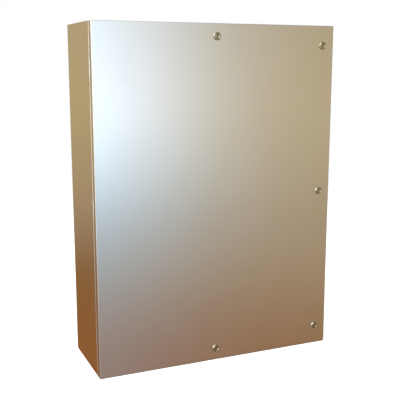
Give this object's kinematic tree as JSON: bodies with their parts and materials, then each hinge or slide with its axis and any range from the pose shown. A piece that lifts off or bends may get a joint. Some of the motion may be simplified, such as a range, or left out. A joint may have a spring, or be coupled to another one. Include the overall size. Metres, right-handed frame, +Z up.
{
  "type": "industrial switchboard cabinet",
  "caption": "Wall-mount stainless switchboard cabinet with a hinged pan door, slotted quarter-turn latches and an inner mounting plate",
  "frame": {"origin": "middle of the lowest face of the cabinet's box", "axes": "+Z up, +Y towards the wall behind, the door faces -Y and its hinges are at -X"},
  "size_m": [0.914, 0.32, 1.219],
  "materials": {
    "stainless_sheet": "brushed stainless sheet, vertical grain",
    "polished_stainless": "polished stainless casting",
    "turned_steel": "turned stainless",
    "zinc_plated": "bright zinc plate",
    "galvanised_plate": "galvanised sheet with spangle",
    "foam_seal": "foamed-in polyurethane, matt",
    "black_rubber": "moulded rubber",
    "pocket_plastic": "moulded grey plastic"
  },
  "bodies": {
    "cabinet": {"body_wrap": "stainless_sheet", "back_panel": "stainless_sheet", "plate_collar_studs": "turned_steel", "mounting_plate": "galvanised_plate", "plate_washers": "zinc_plated", "plate_nuts": "zinc_plated", "hinge_body_leaves": "stainless_sheet", "hinge_pins": "turned_steel", "hinge_pin_clips": "zinc_plated", "body_ground_stud": "turned_steel", "body_ground_washer": "zinc_plated", "body_ground_nut": "zinc_plated"},
    "door": {"door_panel": "stainless_sheet", "door_gasket": "foam_seal", "hinge_door_leaves": "stainless_sheet", "stiffener_hinge_side": "stainless_sheet", "stiffener_latch_side": "stainless_sheet", "drawing_pocket": "pocket_plastic", "pocket_studs": "turned_steel", "pocket_nuts": "zinc_plated", "door_ground_stud": "turned_steel", "door_ground_washer": "zinc_plated", "door_ground_nut": "zinc_plated", "latch_housings": "polished_stainless", "latch_face_gaskets": "black_rubber", "latch_lock_nuts": "zinc_plated", "latch_rotor_seals": "black_rubber"},
    "latch_upper": {"latch_rotor_upper": "polished_stainless", "latch_cam_upper": "zinc_plated", "latch_washer_upper": "zinc_plated", "latch_screw_upper": "zinc_plated"},
    "latch_middle": {"latch_rotor_middle": "polished_stainless", "latch_cam_middle": "zinc_plated", "latch_washer_middle": "zinc_plated", "latch_screw_middle": "zinc_plated"},
    "latch_lower": {"latch_rotor_lower": "polished_stainless", "latch_cam_lower": "zinc_plated", "latch_washer_lower": "zinc_plated", "latch_screw_lower": "zinc_plated"},
    "latch_top": {"latch_rotor_top": "polished_stainless", "latch_cam_top": "zinc_plated", "latch_washer_top": "zinc_plated", "latch_screw_top": "zinc_plated"},
    "latch_bottom": {"latch_rotor_bottom": "polished_stainless", "latch_cam_bottom": "zinc_plated", "latch_washer_bottom": "zinc_plated", "latch_screw_bottom": "zinc_plated"}
  },
  "joints": [
    {"name": "door_hinge", "type": "hinge", "parent": "cabinet", "child": "door", "pos_m": [-0.4495, -0.143, 0.6095], "axis": [0, 0, -1], "range_deg": [0, 120]},
    {"name": "latch_turn_upper", "type": "hinge", "parent": "door", "child": "latch_upper", "pos_m": [0.411, -0.14, 1.147], "axis": [0, 1, 0], "range_deg": [0, 90]},
    {"name": "latch_turn_middle", "type": "hinge", "parent": "door", "child": "latch_middle", "pos_m": [0.411, -0.14, 0.6095], "axis": [0, 1, 0], "range_deg": [0, 90]},
    {"name": "latch_turn_lower", "type": "hinge", "parent": "door", "child": "latch_lower", "pos_m": [0.411, -0.14, 0.072], "axis": [0, 1, 0], "range_deg": [0, 90]},
    {"name": "latch_turn_top", "type": "hinge", "parent": "door", "child": "latch_top", "pos_m": [-0.014, -0.14, 1.174], "axis": [0, 1, 0], "range_deg": [0, 90]},
    {"name": "latch_turn_bottom", "type": "hinge", "parent": "door", "child": "latch_bottom", "pos_m": [-0.014, -0.14, 0.045], "axis": [0, 1, 0], "range_deg": [0, 90]}
  ]
}
